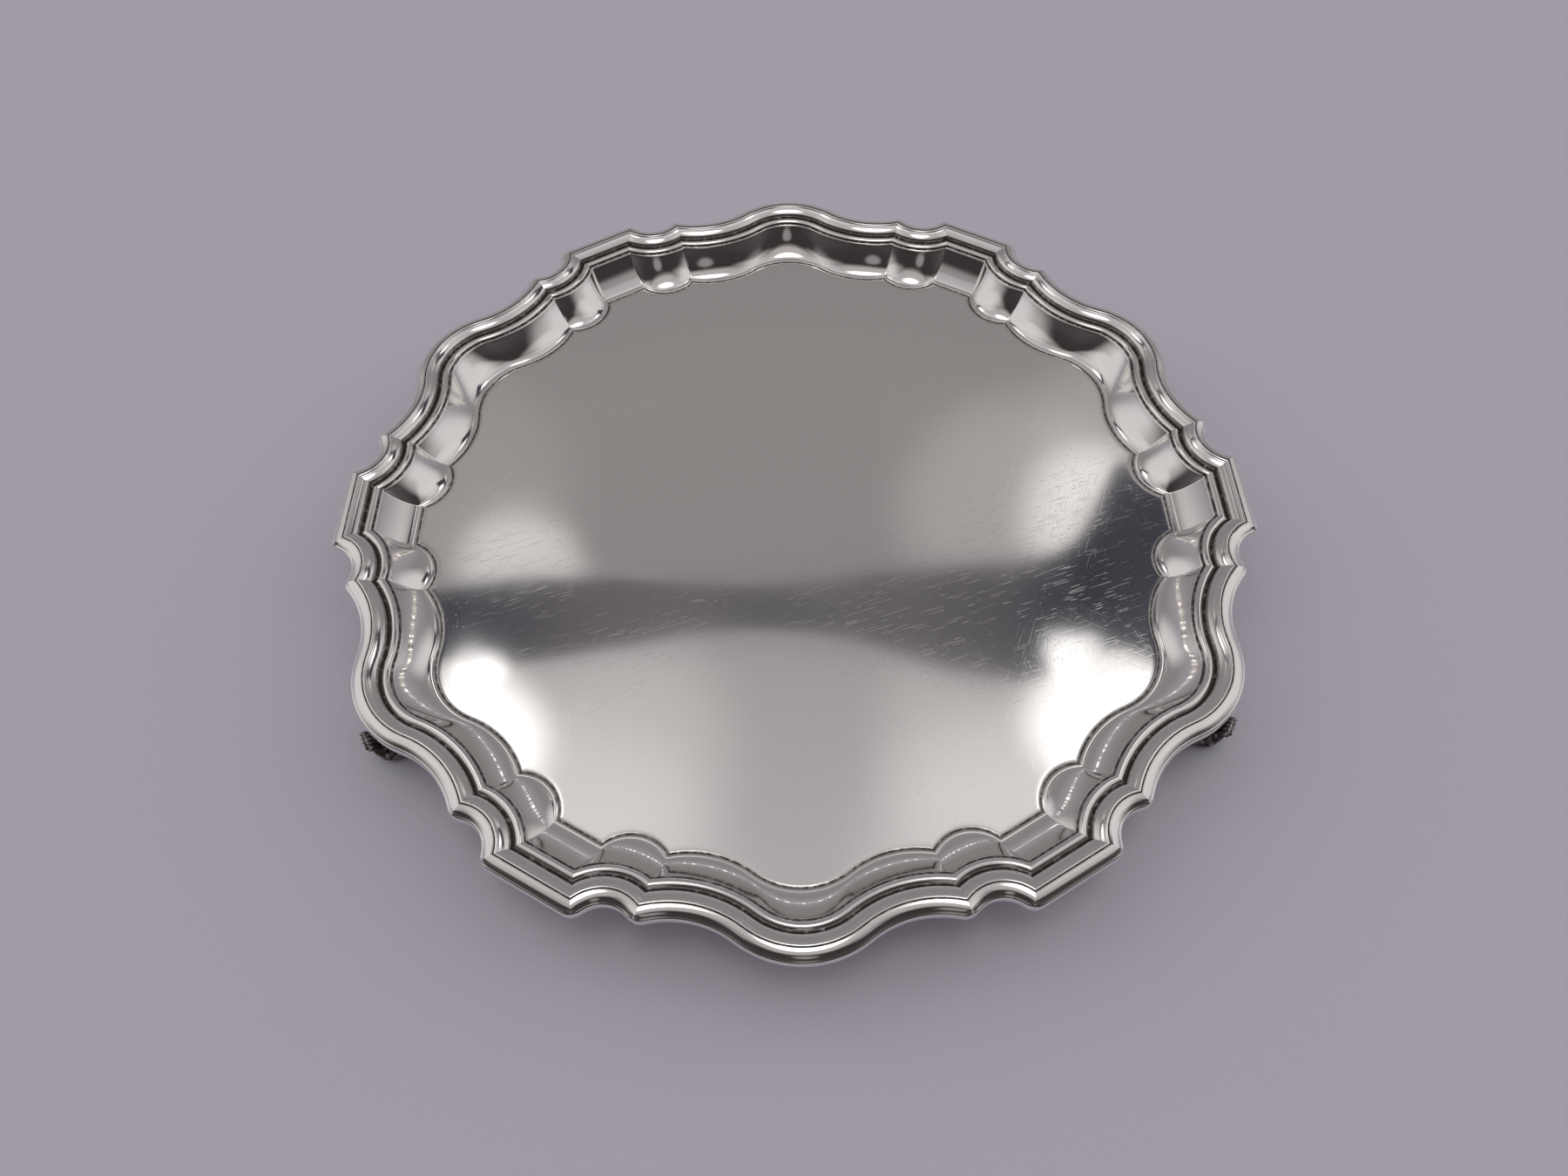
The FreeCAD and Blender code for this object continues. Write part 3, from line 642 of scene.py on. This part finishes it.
def soft_tent():
    """A pale tent shaped to the photograph: grey wall, bright roof, a dark gap between, darker towards -Y."""
    world = bpy.data.worlds.new("soft_tent")
    bpy.context.scene.world = world
    world.use_nodes = True
    tree = world.node_tree
    tree.nodes.clear()
    make = node_maker(tree)
    ray = make("ShaderNodeTexCoord").outputs["Generated"]
    parts = make("ShaderNodeSeparateXYZ", {0: ray})
    lift = make("ShaderNodeMath", {0: parts.outputs["Z"]}, operation="ARCSINE")
    to_degrees = {0: lift.outputs[0], 1: 180 / math.pi}
    degrees = make("ShaderNodeMath", to_degrees, operation="MULTIPLY").outputs[0]

    def ramp(stops):
        share = make("ShaderNodeMapRange", {"Value": degrees, "From Min": 0.0, "From Max": 90.0})
        node = make("ShaderNodeValToRGB", {"Fac": share.outputs[0]})
        elements = node.color_ramp.elements
        while len(elements) < len(stops):
            elements.new(0.5)
        for element, (at, colour) in zip(elements, stops):
            element.position = at / 90
            element.color = (*colour, 1)
        return node.outputs["Color"]

    front = ramp([
        (0, (0.33, 0.315, 0.35)), (20, (0.245, 0.23, 0.24)), (38, (0.248, 0.235, 0.238)),
        (47, (0.28, 0.265, 0.267)), (57.5, (0.27, 0.256, 0.26)), (58.5, (0.29, 0.28, 0.288)),
        (61, (0.375, 0.36, 0.366)), (70, (0.44, 0.42, 0.43)), (80, (0.5, 0.48, 0.49)),
        (90, (0.5, 0.48, 0.49)),
    ])
    back = ramp([
        (0, (0.16, 0.15, 0.16)), (8, (0.08, 0.075, 0.076)), (30, (0.04, 0.037, 0.037)),
        (50, (0.035, 0.032, 0.032)), (54, (0.17, 0.16, 0.16)), (59, (0.43, 0.41, 0.41)),
        (90, (0.5, 0.48, 0.49)),
    ])
    aside = make("ShaderNodeMath", {0: parts.outputs["X"]}, operation="ABSOLUTE").outputs[0]
    height = {"Value": parts.outputs["Z"], "From Min": 0.5, "From Max": 0.75, "To Max": 0.9}
    shift = {0: aside, 1: make("ShaderNodeMapRange", height).outputs[0], 2: parts.outputs["Y"]}
    forward = make("ShaderNodeMath", shift, operation="MULTIPLY_ADD").outputs[0]
    turning = {"Value": forward, "From Min": -0.22, "From Max": 0.12}
    facing = make("ShaderNodeMapRange", turning, interpolation_type="SMOOTHSTEP")
    halves = {"Factor": facing.outputs[0], "A": back, "B": front}
    colour = make("ShaderNodeMix", halves, data_type="RGBA")

    def lit(light, lamps):
        """The light with soft round lamps added to it."""
        for azimuth, elevation, size, power in lamps:
            both = {0: ray, 1: direction(azimuth, elevation)}
            near = make("ShaderNodeVectorMath", both, operation="DOT_PRODUCT")
            outer_edge = math.cos(math.radians(size * LAMP_FADES))
            inner_edge = math.cos(math.radians(size * LAMP_FULL))
            fade = {"Value": near.outputs["Value"], "From Min": outer_edge, "From Max": inner_edge}
            fade["To Max"] = power
            glow = make("ShaderNodeMapRange", fade, interpolation_type="SMOOTHERSTEP")
            added = {"Factor": 1.0, "A": light, "B": glow.outputs[0]}
            light = make("ShaderNodeMix", added, data_type="RGBA", blend_type="ADD").outputs["Result"]
        return light

    total = lit(colour.outputs["Result"], LAMPS)
    sideways = {"Value": parts.outputs["X"], "From Min": -0.5, "From Max": 0.5}
    reach = make("ShaderNodeMapRange", sideways).outputs[0]

    def along_gap(values):
        """A ramp of one of the gap's columns over a direction's x."""
        node = make("ShaderNodeValToRGB", {"Fac": reach})
        node.color_ramp.interpolation = "B_SPLINE"
        elements = node.color_ramp.elements
        while len(elements) < len(GAP):
            elements.new(0.5)
        for element, row, value in zip(elements, GAP, values):
            element.position = row[0] + 0.5
            element.color = (*value, 1)
        return node.outputs["Color"]

    def edge(column, soft):
        """0 below one of the gap's edges and 1 above it, over a soft step of so many degrees each way."""
        level = along_gap([(row[column] / 90,) * 3 for row in GAP])
        rise = make("ShaderNodeMath", {0: level, 1: -90.0, 2: degrees}, operation="MULTIPLY_ADD").outputs[0]
        step = {"Value": rise, "From Min": -soft, "From Max": soft}
        return make("ShaderNodeMapRange", step, interpolation_type="SMOOTHSTEP").outputs[0]

    below = make("ShaderNodeMath", {0: 1.0, 1: edge(GAP_UPPER, 0.2)}, operation="SUBTRACT").outputs[0]
    inside = make("ShaderNodeMath", {0: edge(GAP_LOWER, 0.09), 1: below}, operation="MULTIPLY").outputs[0]
    onwards = {"Value": parts.outputs["Y"], "From Min": 0.3, "From Max": 0.36}
    ahead = make("ShaderNodeMapRange", onwards).outputs[0]
    inside = make("ShaderNodeMath", {0: inside, 1: ahead}, operation="MULTIPLY").outputs[0]
    gap = {"Factor": inside, "A": total, "B": along_gap([row[GAP_COLOUR] for row in GAP])}
    filled = make("ShaderNodeMix", gap, data_type="RGBA")
    total = lit(filled.outputs["Result"], GLINTS)
    background = make("ShaderNodeBackground", {"Color": total, "Strength": 1.0})
    make("ShaderNodeOutputWorld", {"Surface": background.outputs[0]})


CAMERA_DISTANCE = 0.3138
CAMERA_ELEVATION = 57.07
CAMERA_AZIMUTH = 0.135
CAMERA_ROLL = -1.08
SENSOR_WIDTH = 36.0
LENS_LENGTH = 26.252


def camera():
    """The camera at the photograph's viewing angle: high in front, close, with a wide lens."""
    target = np.array([-3.1 * MM, -23.4 * MM, WELL_LEVEL])
    a, e, r = (math.radians(v) for v in (CAMERA_AZIMUTH, CAMERA_ELEVATION, CAMERA_ROLL))
    back = np.array([math.sin(a) * math.cos(e), -math.cos(a) * math.cos(e), math.sin(e)])
    right = np.array([math.cos(a), math.sin(a), 0])
    up = np.cross(back, right)
    right, up = math.cos(r) * right + math.sin(r) * up, -math.sin(r) * right + math.cos(r) * up
    lens = bpy.data.cameras.new("camera")
    lens.sensor_width = SENSOR_WIDTH
    lens.lens = LENS_LENGTH
    lens.clip_start = 0.01
    seat = bpy.data.objects.new("camera", lens)
    matrix = Matrix.Identity(4)
    for i, axis in enumerate((right, up, back)):
        for j in range(3):
            matrix[j][i] = axis[j]
    for j, value in enumerate(target + back * CAMERA_DISTANCE):
        matrix[j][3] = value
    seat.matrix_world = matrix
    bpy.context.scene.collection.objects.link(seat)
    bpy.context.scene.camera = seat


def main():
    bpy.context.scene.view_settings.view_transform = "Standard"
    plate_material = silver("silver_plate", 0.05, 0.30, 1.0)
    border_material = silver("silver_border", 0.06, 0.12, 1.2)
    # The foot's last number scales both its tarnish and its painted shade.
    foot_material = silver("silver_foot", 0.10, 0.25, 1.15)
    tray_plate(plate_material)
    border(border_material)
    for number in range(FEET):
        angle = FIRST_FOOT + 360 / FEET * number
        scroll_foot(f"leaf_foot_{number + 1}", f"scroll_foot_{number + 1}", angle, foot_material)
    paper_floor()
    soft_tent()
    camera()


main()
